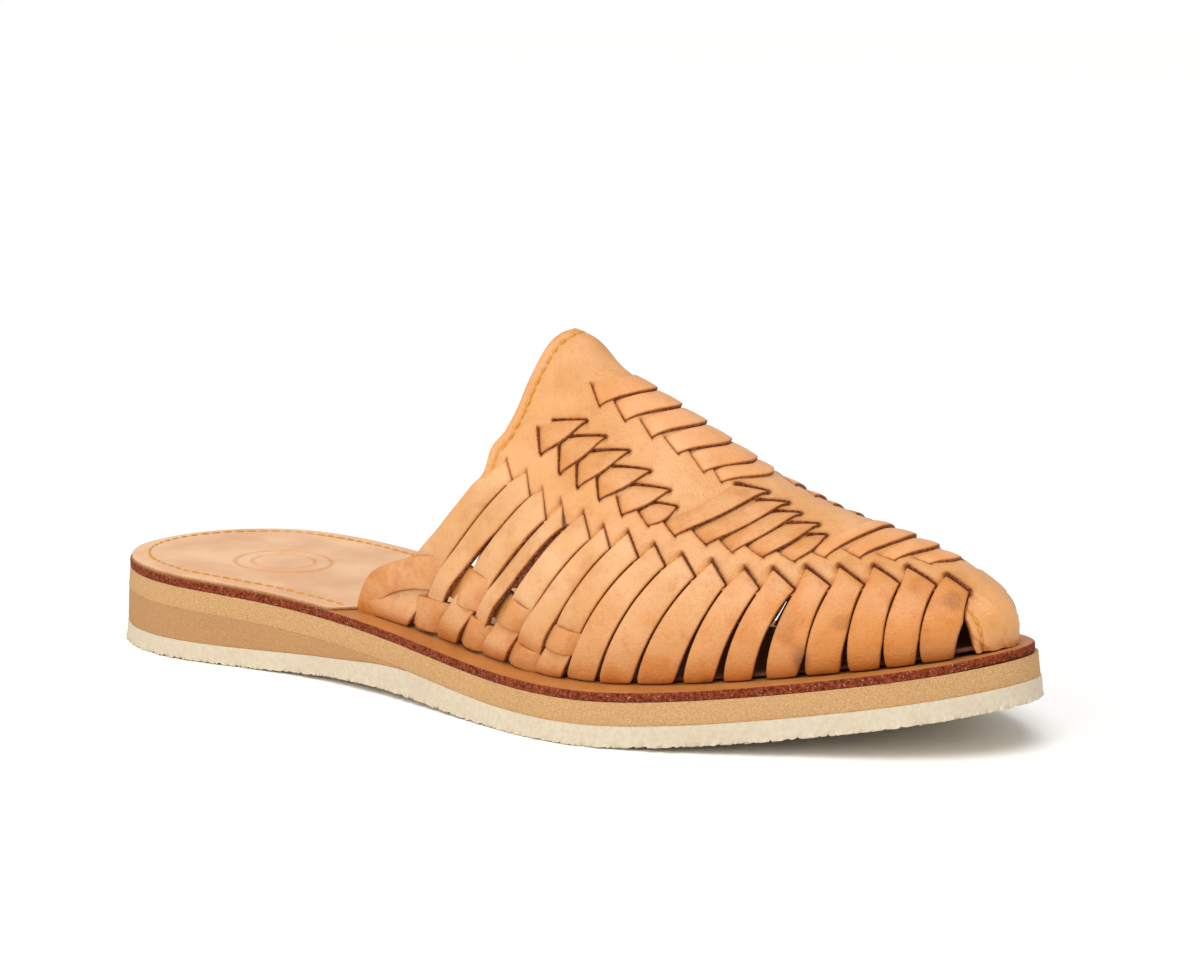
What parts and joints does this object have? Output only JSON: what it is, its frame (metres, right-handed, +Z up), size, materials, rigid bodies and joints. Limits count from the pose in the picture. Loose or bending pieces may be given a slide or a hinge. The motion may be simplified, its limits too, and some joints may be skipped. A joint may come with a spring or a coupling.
{
  "type": "huarache mule",
  "caption": "Right-foot backless huarache mule with a pointed toe, a woven leather upper with a tongue, a leather runner, foam midsole with heel wedge and a crepe rubber outsole.",
  "frame": {"origin": "centre of the shoe's box, on the floor under the sole", "axes": "+X from heel to toe, +Y to the medial side, +Z up"},
  "size_m": [0.2712, 0.0992, 0.0915],
  "materials": {
    "crepe_rubber": "matt crepe rubber with a torn lower edge",
    "wedge_foam": "matt closed-cell foam, light tan",
    "midsole_foam": "matt closed-cell foam, speckled tan",
    "runner_leather": "fibrous cut edge, burnished brown",
    "insole_leather": "smooth undyed leather",
    "upper_leather": "smooth vegetable-tanned leather, satin"
  },
  "bodies": {
    "root": {"outsole": "crepe_rubber", "heel_wedge": "wedge_foam", "midsole": "midsole_foam", "runner": "runner_leather", "insole": "insole_leather", "upper": "upper_leather"}
  },
  "joints": []
}
